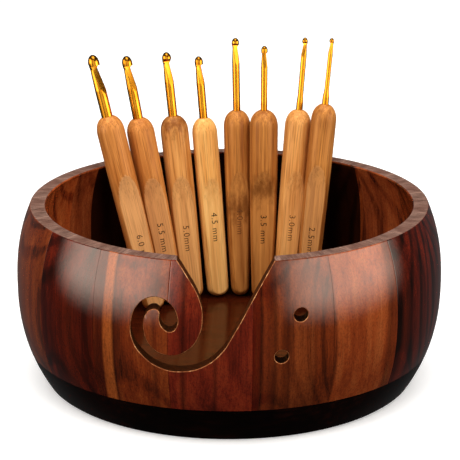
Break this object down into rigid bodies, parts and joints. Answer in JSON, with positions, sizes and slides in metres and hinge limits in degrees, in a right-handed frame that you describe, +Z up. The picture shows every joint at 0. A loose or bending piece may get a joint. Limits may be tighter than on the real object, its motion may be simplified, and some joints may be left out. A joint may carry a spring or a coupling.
{
  "type": "yarn bowl",
  "caption": "Round wooden yarn bowl of glued staves on a dark base, with a sawn J-shaped yarn guide, yarn holes and loose bamboo-handled crochet hooks standing in it.",
  "frame": {"origin": "centre of the base's underside, on the table", "axes": "+Z up; -Y is the front, where the yarn guide is; +X is to the right seen from the front"},
  "size_m": [0.2149, 0.2149, 0.1575],
  "materials": {
    "wood_base": "satin lacquer over a near-black stain",
    "wood_brown": "gloss lacquer",
    "wood_red": "gloss lacquer",
    "wood_streaked": "gloss lacquer",
    "wood_orange": "gloss lacquer",
    "wood_dark": "gloss lacquer",
    "bamboo": "oiled satin bamboo",
    "gold_metal": "gold anodised, polished"
  },
  "bodies": {
    "bowl": {"base": "wood_base", "stave_01": "wood_brown", "stave_02": "wood_red", "stave_03": "wood_streaked", "stave_04": "wood_orange", "stave_05": "wood_dark", "stave_06": "wood_red", "stave_07": "wood_streaked", "stave_08": "wood_brown", "stave_09": "wood_dark", "stave_10": "wood_orange", "stave_11": "wood_red", "stave_12": "wood_streaked", "stave_13": "wood_brown", "stave_14": "wood_dark", "stave_15": "wood_red", "stave_16": "wood_streaked", "stave_17": "wood_dark", "tongue_1": "wood_brown", "tongue_2": "wood_red"},
    "hook_6_0": {"hook_6_0_handle": "bamboo", "hook_6_0_shaft": "gold_metal"},
    "hook_5_5": {"hook_5_5_handle": "bamboo", "hook_5_5_shaft": "gold_metal"},
    "hook_5_0": {"hook_5_0_handle": "bamboo", "hook_5_0_shaft": "gold_metal"},
    "hook_4_5": {"hook_4_5_handle": "bamboo", "hook_4_5_shaft": "gold_metal"},
    "hook_4_0": {"hook_4_0_handle": "bamboo", "hook_4_0_shaft": "gold_metal"},
    "hook_3_5": {"hook_3_5_handle": "bamboo", "hook_3_5_shaft": "gold_metal"},
    "hook_3_0": {"hook_3_0_handle": "bamboo", "hook_3_0_shaft": "gold_metal"},
    "hook_2_5": {"hook_2_5_handle": "bamboo", "hook_2_5_shaft": "gold_metal"}
  },
  "joints": [
    {"name": "hook_6_0_lift", "type": "slide", "parent": "bowl", "child": "hook_6_0", "axis": [-0.2328, 0.1295, 0.9639], "range_m": [0, 0.15]},
    {"name": "hook_5_5_lift", "type": "slide", "parent": "bowl", "child": "hook_5_5", "axis": [-0.1843, 0.1296, 0.9743], "range_m": [0, 0.15]},
    {"name": "hook_5_0_lift", "type": "slide", "parent": "bowl", "child": "hook_5_0", "axis": [-0.1027, 0.1277, 0.9865], "range_m": [0, 0.15]},
    {"name": "hook_4_5_lift", "type": "slide", "parent": "bowl", "child": "hook_4_5", "axis": [-0.0816, 0.1346, 0.9875], "range_m": [0, 0.15]},
    {"name": "hook_4_0_lift", "type": "slide", "parent": "bowl", "child": "hook_4_0", "axis": [-0.0205, 0.1273, 0.9917], "range_m": [0, 0.15]},
    {"name": "hook_3_5_lift", "type": "slide", "parent": "bowl", "child": "hook_3_5", "axis": [0.0043, 0.1232, 0.9924], "range_m": [0, 0.15]},
    {"name": "hook_3_0_lift", "type": "slide", "parent": "bowl", "child": "hook_3_0", "axis": [0.0791, 0.1727, 0.9818], "range_m": [0, 0.15]},
    {"name": "hook_2_5_lift", "type": "slide", "parent": "bowl", "child": "hook_2_5", "axis": [0.0941, 0.1403, 0.9856], "range_m": [0, 0.15]}
  ]
}
